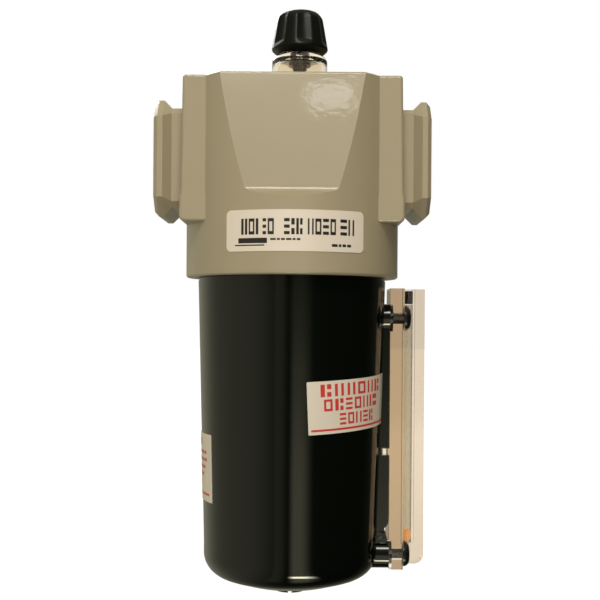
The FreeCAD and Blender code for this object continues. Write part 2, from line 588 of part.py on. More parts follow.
def make_dome():
    """Clear sight dome: threaded spigot, drip chamber, gland and threaded neck."""
    dome = piece("sight_dome", "dome_axis")
    chamber = "dome_radius - dome_wall"
    turned(dome, "dome_body", [
        ("spigot_bore", "head_top - spigot_length"), ("spigot_radius", "head_top - spigot_length"),
        ("spigot_radius", "head_top"), ("dome_radius", "head_top"),
        ("dome_radius", "dome_top", "dome_shoulder"), ("dome_neck_radius", "dome_top"),
        ("dome_neck_radius", "dome_neck_top"), ("needle_thread_radius + needle_gap", "dome_neck_top"),
        ("needle_thread_radius + needle_gap", "gland_top"), ("gland_radius", "gland_top"),
        ("gland_radius", "dome_ceiling"), (chamber, "dome_ceiling", "1.2"),
        (chamber, "head_top + 0.6"), ("spigot_bore", "head_top + 0.6"),
    ])
    bar(dome, "riser_socket", "riser_radius", "nozzle_top - dome_ceiling - 0.2",
        ("0", "-riser_offset", "dome_ceiling - 0.1"), cut=True)
    return dome


def make_drip_nozzle():
    """Brass nozzle in the dome's roof, with the needle's seat above and the drip tip below."""
    nozzle = piece("drip_nozzle", "dome_axis")
    shelf = "dome_ceiling - 1"
    turned(nozzle, "nozzle_body", [
        ("nozzle_bore", "nozzle_tip"), ("nozzle_tip_radius", "nozzle_tip"),
        ("nozzle_radius", "nozzle_tip + 2.2"), ("nozzle_radius", shelf),
        ("gland_radius + 0.4", shelf), ("gland_radius + 0.4", "dome_ceiling - seal_gap"),
        ("gland_radius - needle_gap", "dome_ceiling - seal_gap"),
        ("gland_radius - needle_gap", "nozzle_top"), ("needle_radius + 0.2", "nozzle_top"),
        ("nozzle_bore", "nozzle_top - seat_depth"),
    ])
    return nozzle


def make_riser():
    """Brass tube that carries the oil up to the needle."""
    riser = piece("riser_tube", "dome_axis", "-riser_offset")
    turned(riser, "riser_body", [
        ("riser_bore", "well_floor"), ("riser_radius", "well_floor"),
        ("riser_radius", "dome_ceiling"), ("riser_bore", "dome_ceiling"),
    ])
    return riser


def make_needle():
    """Metering needle: cone, stem, thread and the plain end that the knob is pressed on."""
    needle = piece("metering_needle", "dome_axis")
    cone_low = "nozzle_top - seat_depth + 0.1"
    turned(needle, "needle_body", [
        ("0", cone_low), ("nozzle_bore * 0.6", cone_low), ("needle_radius", "nozzle_top + 0.2"),
        ("needle_radius", "gland_top"), ("needle_thread_radius", "gland_top + 0.5"),
        ("needle_thread_radius", "needle_top"), ("0", "needle_top"),
    ])
    return needle


def make_knob():
    """Fluted knob, open below over the dome's neck."""
    knob = piece("knob", "dome_axis")
    turned(knob, "knob_body", [
        ("knob_inner_radius", "knob_bottom"), ("knob_low_radius", "knob_bottom"),
        ("knob_rim_radius", "knob_rim"), ("knob_rim_radius - 0.15", "knob_rim + 1.0"),
        ("knob_top_radius", "knob_top", "knob_crown"), ("0", "knob_top"),
        ("0", "needle_top"), ("needle_thread_radius", "needle_top"),
        ("needle_thread_radius", "knob_roof"), ("knob_inner_radius", "knob_roof"),
    ])
    lean = math.degrees(math.atan2(value("knob_rim_radius - knob_top_radius"), value("knob_top - knob_rim")))
    flute = bar(knob, "flute", "flute_radius", "flute_end - flute_start",
                ("knob_rim_radius + flute_radius - flute_bite", "0", "flute_start"),
                Rotation(Y_AXIS, -lean), cut=True)
    flutes = knob.newObject("PartDesign::PolarPattern", "flutes")
    flutes.Originals = [flute]
    flutes.Axis = (next(item for item in knob.Origin.OriginFeatures if item.Role == "Z_Axis"), [""])
    flutes.Angle = 360
    flutes.Occurrences = 12
    knob.Tip = flutes
    return knob


def make_fill_plug():
    """Flush plug with a hexagon socket."""
    plug = piece("fill_plug", "axis", "fill_offset")
    under = "head_top - fill_head_height"
    turned(plug, "plug_body", [
        ("0", "fill_seat - fill_thread_length + 1"),
        ("fill_thread_radius", "fill_seat - fill_thread_length + 1"), ("fill_thread_radius", under),
        ("fill_head_radius", under), ("fill_head_radius", "head_top", "0.5"), ("0", "head_top"),
    ])
    prism(plug, "plug_socket", "XY_Plane", hexagon("fill_hex"), "fill_hex_depth", cut=True,
          lift="head_top", symmetric=False)
    return plug


def make_siphon():
    """Adapter with the check-ball chamber, the tube that hangs from it, its filter and the ball."""
    adapter = piece("siphon_adapter", "axis", "-siphon_offset")
    thread_top = "-cavity_roof_drop + adapter_thread_length"
    turned(adapter, "adapter_body", [
        ("adapter_bore", "adapter_low"), ("adapter_barb_radius", "adapter_low"),
        ("adapter_barb_radius", "adapter_flange_low"), ("adapter_flange_radius", "adapter_flange_low"),
        ("adapter_flange_radius", "-cavity_roof_drop"), ("adapter_thread_radius", "-cavity_roof_drop"),
        ("adapter_thread_radius", thread_top), ("ball_chamber_radius", thread_top),
        ("ball_chamber_radius", "chamber_low + ball_chamber_radius - adapter_bore"),
        ("adapter_bore", "chamber_low"),
    ])
    tube = piece("siphon_tube", "axis", "-siphon_offset")
    turned(tube, "tube_body", [
        ("tube_bore", "-tube_end_drop"), ("tube_radius", "-tube_end_drop"),
        ("tube_radius", "adapter_flange_low - 0.2"), ("tube_bore", "adapter_flange_low - 0.2"),
    ])
    strainer = piece("pickup_filter", "axis", "-siphon_offset")
    turned(strainer, "filter_body", [
        ("0", "-filter_end_drop"), ("filter_radius - filter_chamfer", "-filter_end_drop"),
        ("filter_radius", "-filter_end_drop + filter_chamfer"),
        ("filter_radius", "-(filter_end_drop - filter_height)"),
        ("tube_radius + tube_gap", "-(filter_end_drop - filter_height)"),
        ("tube_radius + tube_gap", "-(tube_end_drop + tube_gap)"), ("0", "-(tube_end_drop + tube_gap)"),
    ])
    ball = doc.addObject("Part::Sphere", "check_ball")
    ball.Label = "check_ball"
    bind(ball, "Radius", "check_ball_radius")
    rest = "chamber_low - adapter_bore + check_ball_radius * sqrt(2) + seal_gap"
    place(ball, "axis", "-siphon_offset", rest)
    return [adapter, tube, strainer, ball]


def make_vane():
    """Sprung flap in the throat, the ring that carries it and its hinge pin."""
    carrier = piece("vane_carrier")
    turned(carrier, "carrier_body", [
        ("-carrier_half", "carrier_bore"), ("carrier_half", "carrier_bore"),
        ("carrier_half", "carrier_radius"), ("-carrier_half", "carrier_radius"),
    ], axis="H_Axis")
    bar(carrier, "pin_holes", "pin_radius + tube_gap", "2 * pin_half",
        ("0", "-pin_half", "pin_height"), ALONG_Y, cut=True)
    bar(carrier, "drip_hole", "drip_hole_radius", "throat_radius",
        ("dome_offset", "0", "0"), cut=True)
    pin_body = piece("vane_pin", "axis", "-pin_half", "pin_height", ALONG_Y)
    turned(pin_body, "pin_body", [
        ("0", "0"), ("pin_radius", "0"), ("pin_radius", "2 * pin_half"), ("0", "2 * pin_half"),
    ])
    vane = piece("bypass_vane")
    bar(vane, "disc", "vane_radius", "vane_thickness",
        ("-vane_thickness / 2", "0", "-vane_centre_drop"), ALONG_X)
    bar(vane, "hub", "vane_hub_radius", "2 * vane_hub_half",
        ("0", "-vane_hub_half", "pin_height"), ALONG_Y)
    bar(vane, "hub_bore", "pin_radius + hinge_gap", "2 * vane_hub_half + 2",
        ("0", "-vane_hub_half - 1", "pin_height"), ALONG_Y, cut=True)
    return [carrier, pin_body, vane]


def make_drain():
    """Drain plug with a slotted head, and its sealing washer."""
    plug = piece("drain_plug")
    head_low = "drain_face - drain_head_height"
    turned(plug, "drain_body", [
        ("0", head_low), ("drain_head_radius", head_low, "0.5"), ("drain_head_radius", "drain_face"),
        ("drain_thread_radius", "drain_face"),
        ("drain_thread_radius", "-(bowl_bottom_drop - bowl_floor - drain_boss_height)"),
        ("0", "-(bowl_bottom_drop - bowl_floor - drain_boss_height)"),
    ])
    prism(plug, "drain_slot_cut", "XZ_Plane", [
        ("-drain_slot / 2", head_low), ("drain_slot / 2", head_low),
        ("drain_slot / 2", f"{head_low} + 0.8"), ("-drain_slot / 2", f"{head_low} + 0.8"),
    ], "2 * drain_head_radius + 2", cut=True)
    washer = piece("drain_seal")
    turned(washer, "washer_body", [
        ("drain_thread_radius + seal_gap", "drain_face"), ("drain_head_radius - 0.3", "drain_face"),
        ("drain_head_radius - 0.3", "-bowl_bottom_drop"),
        ("drain_thread_radius + seal_gap", "-bowl_bottom_drop"),
    ])
    return [plug, washer]


def make_label(label, azimuth, half, height, drop, tilt, corner, low_radius, high_radius):
    """Thin sheet bent round a cone: the cone's skin, kept where a tilted rectangle reaches out."""
    margin = f"({height})"
    skins = []
    for name, extra in (("outer", "label_thickness"), ("inner", "0")):
        cone = doc.addObject("Part::Cone", f"{label}_{name}_cone")
        bind(cone, "Radius1", f"{low_radius} + {extra}")
        bind(cone, "Radius2", f"{high_radius} + {extra}")
        bind(cone, "Height", f"2 * {margin}")
        place(cone, "axis", "0", f"-({drop}) - {margin}")
        skins.append(cone)
    skin = doc.addObject("Part::Cut", f"{label}_skin")
    skin.Base, skin.Tool = skins
    sketch = doc.addObject("Sketcher::SketchObject", f"{label}_outline")
    turn = Rotation(Z_AXIS, azimuth) * Rotation(X_AXIS, 90) * Rotation(Z_AXIS, tilt)
    place(sketch, "axis", "0", f"-({drop})", turn)
    draw(sketch, [
        (f"-({half})", f"-({height}) / 2", corner), (half, f"-({height}) / 2", corner),
        (half, f"({height}) / 2", corner), (f"-({half})", f"({height}) / 2", corner),
    ])
    beam = doc.addObject("Part::Extrusion", f"{label}_beam")
    beam.Base = sketch
    beam.DirMode = "Normal"
    beam.Solid = True
    bind(beam, "LengthFwd", "2 * head_radius")
    sheet_label = doc.addObject("Part::Common", label)
    sheet_label.Label = label
    sheet_label.Base = skin
    sheet_label.Tool = beam
    return sheet_label


def bowl_radius_at(drop):
    return f"bowl_low_radius + bowl_slope * (bowl_taper_drop - ({drop}))"


def make_labels():
    """The head's label and the two on the bowl."""
    head_height = "(head_label_low_drop - head_label_high_drop)"
    head_drop = "(head_label_low_drop + head_label_high_drop) / 2"
    head_label = make_label("head_label", 2.2, "head_label_half", head_height, head_drop, 0,
                            "head_label_corner", "head_radius", "head_radius")
    labels = [head_label]
    for label, side, name, tilt in (("level_label", 1, "level_label", value("level_label_tilt")),
                                    ("side_label", -1, "side_label", 0)):
        height, drop = f"{name}_height", f"{name}_drop"
        labels.append(make_label(label, side * value(f"{name}_azimuth"), f"{name}_half", height,
                                 drop, tilt, "0.5", bowl_radius_at(f"{drop} + {height}"),
                                 bowl_radius_at(f"{drop} - {height}")))
    return labels


def make_seals():
    """Rubber rings: under the dome, on the needle, on the fill plug, on the bowl and the gauge."""
    gauge_rings = [
        ring(f"gauge_seal_{name}", "gauge_seal_radius", "gauge_seal_section",
             "axis + gauge_seal_reach - gauge_seal_section / 2", "0", f"-{drop}", ALONG_X)
        for name, drop in (("upper", "gauge_upper_drop"), ("lower", "gauge_lower_drop"))
    ]
    return [
        ring("dome_seal", "dome_seal_radius", "dome_seal_section", "dome_axis", z="head_top - dome_seal_section / 2"),
        ring("needle_seal", "needle_seal_radius", "needle_seal_section", "dome_axis", z="needle_seal_height"),
        ring("fill_seal", "fill_seal_radius", "fill_seal_section", y="fill_offset",
             z="fill_seat + fill_seal_section / 2 + seal_gap"),
        ring("bowl_seal", "bowl_seal_radius", "bowl_seal_section", z="-bowl_seal_drop"),
        group("gauge_seals", gauge_rings),
    ]


def make_float():
    """Float ball in the gauge's bore, and the plug that closes the bore."""
    ball = doc.addObject("Part::Sphere", "float_ball")
    ball.Label = "float_ball"
    bind(ball, "Radius", "float_radius")
    place(ball, "axis + bore_reach", "bore_offset", "-float_drop + seal_gap")
    plug = piece("gauge_plug", "axis + bore_reach", "bore_offset")
    turned(plug, "gauge_plug_body", [
        ("0", "-(gauge_top_drop + gauge_plug_height + gauge_plug_sink)"),
        ("bore_radius - tube_gap", "-(gauge_top_drop + gauge_plug_height + gauge_plug_sink)", "0.3"),
        ("bore_radius - tube_gap", "-(gauge_top_drop + gauge_plug_sink)", "0.3"),
        ("0", "-(gauge_top_drop + gauge_plug_sink)"),
    ])
    return [ball, plug]


def check(parts):
    """Stop before anything is written if a feature failed or a piece isn't a sound solid."""
    failed = [item.Name for item in doc.Objects if {"Invalid", "Error"} & set(item.State)]
    if failed:
        raise RuntimeError("failed features: " + ", ".join(failed))
    for item in parts:
        if item.Shape.isNull() or not item.Shape.isValid() or not item.Shape.Solids:
            raise RuntimeError("unsound piece: " + item.Label)


parts = [make_head(), make_bowl(), make_gauge(), make_gauge_screws(), make_dome(),
         make_drip_nozzle(), make_riser(), make_needle(), make_knob(), make_fill_plug()]
for several in (make_siphon(), make_vane(), make_drain(), make_labels(), make_seals(), make_float()):
    parts.extend(several)
doc.recompute()
check(parts)

os.makedirs("parts", exist_ok=True)
for item in parts:
    item.Shape.exportStep(f"parts/{item.Label}.step")
    print(f"{item.Label}: {len(item.Shape.Solids)} solid, {item.Shape.Volume:.1f} cubic mm")
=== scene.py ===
import json
import math

import bmesh
import bpy
import numpy as np
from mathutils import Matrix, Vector


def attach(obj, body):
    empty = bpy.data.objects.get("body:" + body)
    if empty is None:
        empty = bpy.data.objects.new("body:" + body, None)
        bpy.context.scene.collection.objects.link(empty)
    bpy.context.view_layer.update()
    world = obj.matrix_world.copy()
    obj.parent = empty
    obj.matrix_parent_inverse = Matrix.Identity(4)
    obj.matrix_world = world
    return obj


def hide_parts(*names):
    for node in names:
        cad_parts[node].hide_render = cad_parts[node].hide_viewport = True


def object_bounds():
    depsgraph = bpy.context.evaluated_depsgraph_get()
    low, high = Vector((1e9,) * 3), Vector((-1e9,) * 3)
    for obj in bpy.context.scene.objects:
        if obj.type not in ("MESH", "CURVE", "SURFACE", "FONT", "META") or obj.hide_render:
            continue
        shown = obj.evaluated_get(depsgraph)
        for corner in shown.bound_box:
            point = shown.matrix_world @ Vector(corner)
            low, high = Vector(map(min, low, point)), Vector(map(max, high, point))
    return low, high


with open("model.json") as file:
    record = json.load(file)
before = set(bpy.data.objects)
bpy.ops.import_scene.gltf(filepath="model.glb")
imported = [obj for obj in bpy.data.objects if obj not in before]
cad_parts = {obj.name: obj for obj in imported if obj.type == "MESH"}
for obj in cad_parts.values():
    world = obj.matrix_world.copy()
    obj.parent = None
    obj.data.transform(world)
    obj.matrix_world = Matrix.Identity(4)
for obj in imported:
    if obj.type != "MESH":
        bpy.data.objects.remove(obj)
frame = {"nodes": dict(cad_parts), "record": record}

# An air-line lubricator, dressed over its CAD frame. Lengths are in metres.

MM = 0.001
TURN = 2 * math.pi
PORT = 44.5          # half the distance between the port faces, and the bowl axis's place along X
DOME_X = 46.6        # place along X of the axis that dome and knob share

cad_low, cad_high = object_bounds()


# Materials

def shader_of(material):
    return material.node_tree.nodes["Principled BSDF"]


def output_of(material):
    return material.node_tree.nodes["Material Output"]


def finish_of(name, colour, roughness=0.5, metallic=0.0, **sockets):
    """A Principled material whose even values sit on the shader's own sockets."""
    material = bpy.data.materials.new(name)
    material.use_nodes = True
    shader = shader_of(material)
    shader.inputs["Base Color"].default_value = (*colour, 1)
    shader.inputs["Roughness"].default_value = roughness
    shader.inputs["Metallic"].default_value = metallic
    for socket, number in sockets.items():
        shader.inputs[socket.replace("_", " ")].default_value = number
    return material


def add_node(material, kind, **settings):
    """A node whose settings are values of its sockets or else of the node itself."""
    node = material.node_tree.nodes.new(kind)
    for key, setting in settings.items():
        if key in node.inputs:
            node.inputs[key].default_value = setting
        else:
            setattr(node, key, setting)
    return node


def wire(material, source, target):
    material.node_tree.links.new(source, target)


def noise(material, scale, detail=2.0, roughness=0.5, stretch=(1, 1, 1)):
    """Noise over Object coordinates; scale is in cells per metre."""
    place = add_node(material, "ShaderNodeTexCoord")
    mapping = add_node(material, "ShaderNodeMapping")
    mapping.inputs["Scale"].default_value = stretch
    cloud = add_node(material, "ShaderNodeTexNoise")
    cloud.inputs["Scale"].default_value = scale
    cloud.inputs["Detail"].default_value = detail
    cloud.inputs["Roughness"].default_value = roughness
    wire(material, place.outputs["Object"], mapping.inputs["Vector"])
    wire(material, mapping.outputs["Vector"], cloud.inputs["Vector"])
    return cloud.outputs["Fac"]


def ramp(material, source, low, high, at=(0.3, 0.7)):
    """Value between two numbers as the source goes from one place to the other."""
    span = add_node(material, "ShaderNodeMapRange")
    span.inputs["From Min"].default_value, span.inputs["From Max"].default_value = at
    span.inputs["To Min"].default_value, span.inputs["To Max"].default_value = low, high
    wire(material, source, span.inputs["Value"])
    return span.outputs["Result"]


def tint(material, source, dark, light):
    """Base colour that wanders between two shades."""
    mix = add_node(material, "ShaderNodeMix", data_type="RGBA")
    shades = {"A": dark, "B": light}
    for socket in mix.inputs:
        if socket.type == "RGBA":
            socket.default_value = (*shades[socket.name], 1)
    wire(material, source, mix.inputs["Factor"])
    colour = next(out for out in mix.outputs if out.type == "RGBA")
    wire(material, colour, shader_of(material).inputs["Base Color"])


def bumps(material, layers):
    """Relief from layers of (source, height in millimetres), added up."""
    shader = shader_of(material)
    last = None
    for source, height in layers:
        bump = add_node(material, "ShaderNodeBump")
        bump.inputs["Strength"].default_value = 1.0
        bump.inputs["Distance"].default_value = height * MM
        wire(material, source, bump.inputs["Height"])
        if last is not None:
            wire(material, last.outputs["Normal"], bump.inputs["Normal"])
        last = bump
    wire(material, last.outputs["Normal"], shader.inputs["Normal"])
    wire(material, last.outputs["Normal"], shader.inputs["Coat Normal"])


def rough_from(material, source):
    wire(material, source, shader_of(material).inputs["Roughness"])


def make_finishes():
    """The finishes of the object's pieces, by the name of their slot or of their own. Relief is in
    millimetres, and the scale of each noise in cells per metre."""
    paint = finish_of("sprayed_paint", (0.366, 0.303, 0.189), 0.38,
                      Coat_Weight=0.5, Coat_Roughness=0.04)
    tint(paint, noise(paint, 60, 3), (0.356, 0.294, 0.183), (0.376, 0.312, 0.195))
    bumps(paint, [(noise(paint, 380, 2), 0.02), (noise(paint, 1500, 1), 0.003)])
    enamel = finish_of("black_enamel", (0.002, 0.0032, 0.0018), 0.08)
    ripple = noise(enamel, 110, 2, stretch=(1, 1, 0.35))
    bumps(enamel, [(ripple, 0.018), (noise(enamel, 700, 1), 0.0015)])
    rough_from(enamel, ramp(enamel, noise(enamel, 90, 3), 0.06, 0.11))
    # The tan of the clear plastics is partly the plastic's own slight yellow and partly painted
    # light: glass sees a white room, so the warm room seen through it is painted in as tint.
    clear = finish_of("clear_plastic", (0.86, 0.77, 0.62), 0.1, IOR=1.49, Transmission_Weight=1.0)
    bumps(clear, [(noise(clear, 420, 2), 0.02)])
    clear_thick = finish_of("clear_thick", (0.95, 0.93, 0.9), 0.03,
                            IOR=1.49, Transmission_Weight=1.0)
    # Tan absorption: partly the plastic's own yellow, partly painted light standing in for the warm
    # room seen through the thick gauge.
    depth = add_node(clear_thick, "ShaderNodeVolumeAbsorption",
                     Color=(0.62, 0.45, 0.2, 1), Density=115)
    wire(clear_thick, depth.outputs["Volume"], output_of(clear_thick).inputs["Volume"])
    # A tinted clear finish that bends light hardly at all and darkens the gauge's bore.
    bore_tinted = finish_of("bore_tint", (0.53, 0.48, 0.37), 0.12, IOR=1.02, Transmission_Weight=1.0)
    knob = finish_of("knob_plastic", (0.003, 0.0042, 0.0026), 0.33, Specular_IOR_Level=0.18)
    bumps(knob, [(noise(knob, 900, 2), 0.004)])
    film = finish_of("label_film", (0.75, 0.65, 0.52), 0.35, Coat_Weight=0.3, Coat_Roughness=0.2)
    black_print = finish_of("black_print", (0.018, 0.015, 0.012), 0.45)
    red_print = finish_of("red_print", (0.62, 0.045, 0.04), 0.42)
    screw = finish_of("black_screw", (0.012, 0.012, 0.012), 0.3, 0.4)
    # Painted glow: the float ball's orange plastic shines by its own emission, though it is no
    # lamp.
    orange_painted_glow = finish_of("orange_plastic", (1.0, 0.36, 0.05), 0.4, Emission_Strength=0.8)
    shader_of(orange_painted_glow).inputs["Emission Color"].default_value = (1.0, 0.46, 0.14, 1)
    rubber = finish_of("rubber", (0.012, 0.012, 0.012), 0.55)
    brass = finish_of("turned_brass", (0.72, 0.5, 0.2), 0.28, 1.0)
    bumps(brass, [(noise(brass, 900, 2, stretch=(1, 1, 12)), 0.003)])
    # Painted shade: brass darkened almost to black for the drain plug, riser tube and drip nozzle,
    # where they lie in shade and mirror dark surroundings.
    brass_painted_dark = finish_of("brass_painted_dark", (0.035, 0.03, 0.018), 0.35, 0.5)
    steel = finish_of("bright_steel", (0.56, 0.55, 0.53), 0.3, 1.0)
    nylon = finish_of("natural_nylon", (0.6, 0.55, 0.44), 0.45, Subsurface_Weight=0.15)
    bronze = finish_of("sintered_bronze", (0.42, 0.27, 0.12), 0.7, 0.8)
    bumps(bronze, [(noise(bronze, 2600, 2), 0.08)])
    return {
        "head_paint": paint, "bowl_enamel": enamel, "clear_plastic": clear, "knob_plastic": knob,
        "label_film": film, "black_screw": screw, "orange_plastic": orange_painted_glow, "rubber": rubber,
        "brass": brass, "steel": steel, "nylon": nylon, "sinter_bronze": bronze,
        "clear_thick": clear_thick, "bore_tint": bore_tinted, "brass_painted_dark": brass_painted_dark,
        "black_print": black_print, "red_print": red_print,
    }


FINISHES = make_finishes()
SLOT_OF = {part["node"]: part["material_slot"] for part in frame["record"]["subparts"]}
BODY_OF = {node: body for body, nodes in frame["record"]["behaviour"]["bodies"].items()
           for node in nodes}


# Meshes

SAME_POINT = 1e-7        # points of a grid that lie closer than this are one
NO_LENGTH = 1e-8         # shortest edge that is kept
CAD_SEAM = 2e-6          # corners of the CAD's triangles that lie closer than this are one
FLAT_ANGLE = 0.05        # degrees between triangles of one flat face
MOST_CORNERS = 60        # of a face that is rounded whole


def round_edges(item, width, segments, **settings):
    """Bevel on the edges that the settings pick, its width in millimetres."""
    rounding = item.modifiers.new("edge_rounding", "BEVEL")
    rounding.width = width * MM
    rounding.segments = segments
    for key, setting in settings.items():
        setattr(rounding, key, setting)


def dress(name, mesh, slot, body, instead=(), angle=32, edge=0.0, finish=None):
    """Object from a finished mesh: its finish, shading, edge rounding and the body it rides."""
    mesh.materials.clear()
    mesh.materials.append(FINISHES[finish or slot])
    mesh.shade_smooth()
    mesh.set_sharp_from_angle(angle=math.radians(angle))
    item = bpy.data.objects.new(name, mesh)
    bpy.context.scene.collection.objects.link(item)
    if edge:
        round_edges(item, edge, 2, limit_method="ANGLE", angle_limit=math.radians(angle))
    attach(item, body)
    if instead:
        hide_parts(*instead)


def grid_mesh(name, points, wrap_columns=False, caps=False):
    """Mesh of a grid of points [rows, columns, 3] in millimetres, quads between neighbours;
    columns may close on themselves, and caps shut the first and last row of a tube."""
    rows, columns = points.shape[:2]
    index = np.arange(rows * columns).reshape(rows, columns)
    if wrap_columns:
        index = np.hstack([index, index[:, :1]])
    corners = [index[:-1, :-1], index[:-1, 1:], index[1:, 1:], index[1:, :-1]]
    faces = np.stack(corners, axis=-1).reshape(-1, 4).tolist()
    if caps:
        faces += [list(range(columns))[::-1], list(range((rows - 1) * columns, rows * columns))]
    mesh = bpy.data.meshes.new(name)
    mesh.from_pydata((points.reshape(-1, 3) * MM).tolist(), [], faces)
    mend(mesh)
    return mesh


def mend(mesh):
    """Join points that meet, drop faces without area and turn the faces outwards."""
    shape = bmesh.new()
    shape.from_mesh(mesh)
    bmesh.ops.remove_doubles(shape, verts=shape.verts, dist=SAME_POINT)
    bmesh.ops.dissolve_degenerate(shape, edges=shape.edges, dist=NO_LENGTH)
    bmesh.ops.recalc_face_normals(shape, faces=shape.faces)
    shape.to_mesh(mesh)
    shape.free()


def joined(name, meshes):
    """One mesh from several."""
    shape = bmesh.new()
    for mesh in meshes:
        shape.from_mesh(mesh)
        bpy.data.meshes.remove(mesh)
    whole = bpy.data.meshes.new(name)
    shape.to_mesh(whole)
    shape.free()
    return whole


def merged(node, least=4.0):
    """A copy of a CAD node's mesh with its loose triangles joined. Edges where the CAD surfaces'
    own normals differ by more than the least angle are marked sharp and weighted for rounding, and
    a face with very many corners goes back to triangles, since rounding would fold it."""
    mesh = frame["nodes"][node].data.copy()
    normals = np.empty(len(mesh.loops) * 3, np.float32)
    mesh.corner_normals.foreach_get("vector", normals)
    normals = normals.reshape(-1, 3)
    shape = bmesh.new()
    shape.from_mesh(mesh)
    layer = shape.loops.layers.float_vector.new("cad_normal")
    for face in shape.faces:
        for loop in face.loops:
            loop[layer] = normals[loop.index]
    bmesh.ops.remove_doubles(shape, verts=shape.verts, dist=CAD_SEAM)
    weight = shape.edges.layers.float.new("bevel_weight_edge")
    limit = math.cos(math.radians(least))
    for edge in shape.edges:
        if len(edge.link_loops) != 2:
            continue
        one, other = edge.link_loops
        pairs = ((one[layer], other.link_loop_next[layer]),
                 (one.link_loop_next[layer], other[layer]))
        if any(a.dot(b) < limit for a, b in pairs):
            edge.smooth = False
            edge[weight] = 1.0
        else:
            edge.smooth = True
    bmesh.ops.dissolve_limit(shape, angle_limit=math.radians(FLAT_ANGLE), verts=shape.verts,
                             edges=shape.edges, delimit={"SHARP"})
    crowded = [face for face in shape.faces if len(face.verts) > MOST_CORNERS]
    bmesh.ops.triangulate(shape, faces=crowded)
    shape.to_mesh(mesh)
    shape.free()
    mesh.attributes.remove(mesh.attributes["cad_normal"])
    return mesh


def soften(node, edge, finish=None):
    """The CAD node again, joined up, with the edges between its surfaces rounded off."""
    mesh = merged(node)
    mesh.materials.clear()
    mesh.materials.append(FINISHES[finish or SLOT_OF[node]])
    if "custom_normal" in mesh.attributes:
        mesh.attributes.remove(mesh.attributes["custom_normal"])
    for face in mesh.polygons:
        face.use_smooth = True
    item = bpy.data.objects.new(node + "_skin", mesh)
    bpy.context.scene.collection.objects.link(item)
    round_edges(item, edge, 2, limit_method="WEIGHT", harden_normals=True)
    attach(item, BODY_OF[node])
    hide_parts(node)


def path_of(corners, steps=6):
    """Points along a line through corners (across, up[, radius]), each radius a true arc:
    the arc's centre lies on the corner's bisector, at radius over the sine of the half angle."""
    points = []
    count = len(corners)
    for i, corner in enumerate(corners):
        here = np.array(corner[:2], float)
        if len(corner) < 3 or i in (0, count - 1):
            points.append(here)
            continue
        back = np.array(corners[i - 1][:2], float) - here
        ahead = np.array(corners[i + 1][:2], float) - here
        back, ahead = back / np.hypot(*back), ahead / np.hypot(*ahead)
        half = math.acos(float(np.clip(back @ ahead, -1, 1))) / 2
        middle = (back + ahead) / np.hypot(*(back + ahead))
        centre = here + middle * corner[2] / math.sin(half)
        start = here + back * corner[2] / math.tan(half) - centre
        stop = here + ahead * corner[2] / math.tan(half) - centre
        share = np.linspace(0, 1, steps + 1)[:, None]
        sweep = math.pi - 2 * half
        arc = (np.sin((1 - share) * sweep) * start + np.sin(share * sweep) * stop) / math.sin(sweep)
        points.extend(centre + arc)
    return np.array(points)


def lathe_mesh(name, corners, centre, sides):
    """Surface of revolution: each point (r, z) of the path goes to
    (cx + r cos a, cy + r sin a, z) for every angle a round the axis."""
    profile = path_of(corners)
    angle = np.linspace(0, TURN, sides, endpoint=False)
    points = np.empty((len(profile), sides, 3))
    points[..., 0] = centre[0] + profile[:, :1] * np.cos(angle)
    points[..., 1] = centre[1] + profile[:, :1] * np.sin(angle)
    points[..., 2] = profile[:, 1:2]
    return grid_mesh(name, points, wrap_columns=True)


# Knob

KNOB_FLUTES = 6
KNOB_FRONT = -1.391      # angle of the flute that faces the front, in radians
KNOB_TOP, KNOB_ROOF = 51.0, 43.2
KNOB_BORE = 6.4
FLUTE_DEPTH = 0.72
FLUTE_WIDTH = 0.3        # from a flute's middle to its edge, as a share of the flutes' spacing
FLUTE_LOW, FLUTE_HIGH = 39.0, 50.7
FADE_IN, RUN_OUT = 1.6, 2.2


def smooth(share):
    """Soft step: 3 t squared less 2 t cubed, with t held between 0 and 1."""
    t = np.clip(share, 0, 1)
    return t * t * (3 - 2 * t)


def make_knob():
    """Fluted knob: on the lathe path's radius r(z) each flute takes away depth times a soft round
    dip across its width, and the dip fades in above the rim and runs out into the crown."""
    profile = path_of([
        (KNOB_BORE, KNOB_ROOF), (KNOB_BORE, 36.7, 0.3), (7.6, 36.7, 0.3), (9.45, 38.4, 0.7),
        (9.25, 39.6), (7.25, KNOB_TOP, 3.4), (0.0, KNOB_TOP),
    ], 12)
    longest = 0.45
    dense = [profile[0]]
    for one, other in zip(profile[:-1], profile[1:]):
        pieces = max(1, int(np.hypot(*(other - one)) / longest))
        dense.extend(one + (other - one) * k / pieces for k in range(1, pieces + 1))
    profile = np.array(dense)
    outer = np.arange(len(profile)) > np.argmax(profile[:, 0])
    radius, height = profile[:, :1], profile[:, 1:2]
    angle = np.linspace(0, TURN, KNOB_FLUTES * 24, endpoint=False)
    across = ((angle - KNOB_FRONT) * KNOB_FLUTES / TURN + 0.5) % 1 - 0.5
    dip = np.clip(1 - (across / FLUTE_WIDTH) ** 2, 0, 1) ** 1.2
    rise = smooth((height - FLUTE_LOW) / FADE_IN)
    fall = smooth((FLUTE_HIGH - height) / RUN_OUT)
    depth = FLUTE_DEPTH * rise * fall * outer[:, None]
    spread = radius - depth * dip
    points = np.stack([DOME_X + spread * np.cos(angle), spread * np.sin(angle),
                       np.broadcast_to(height, spread.shape)], axis=-1)
    mesh = grid_mesh("knob_shell", points, wrap_columns=True)
    dress("knob_shell", mesh, "knob_plastic", "knob_body", ("knob",), 50)
    roof = lathe_mesh("knob_roof", [(KNOB_BORE, KNOB_ROOF), (0.0, KNOB_ROOF)], (DOME_X, 0.0), 64)
    dress("knob_roof", roof, "knob_plastic", "knob_body")


# Labels

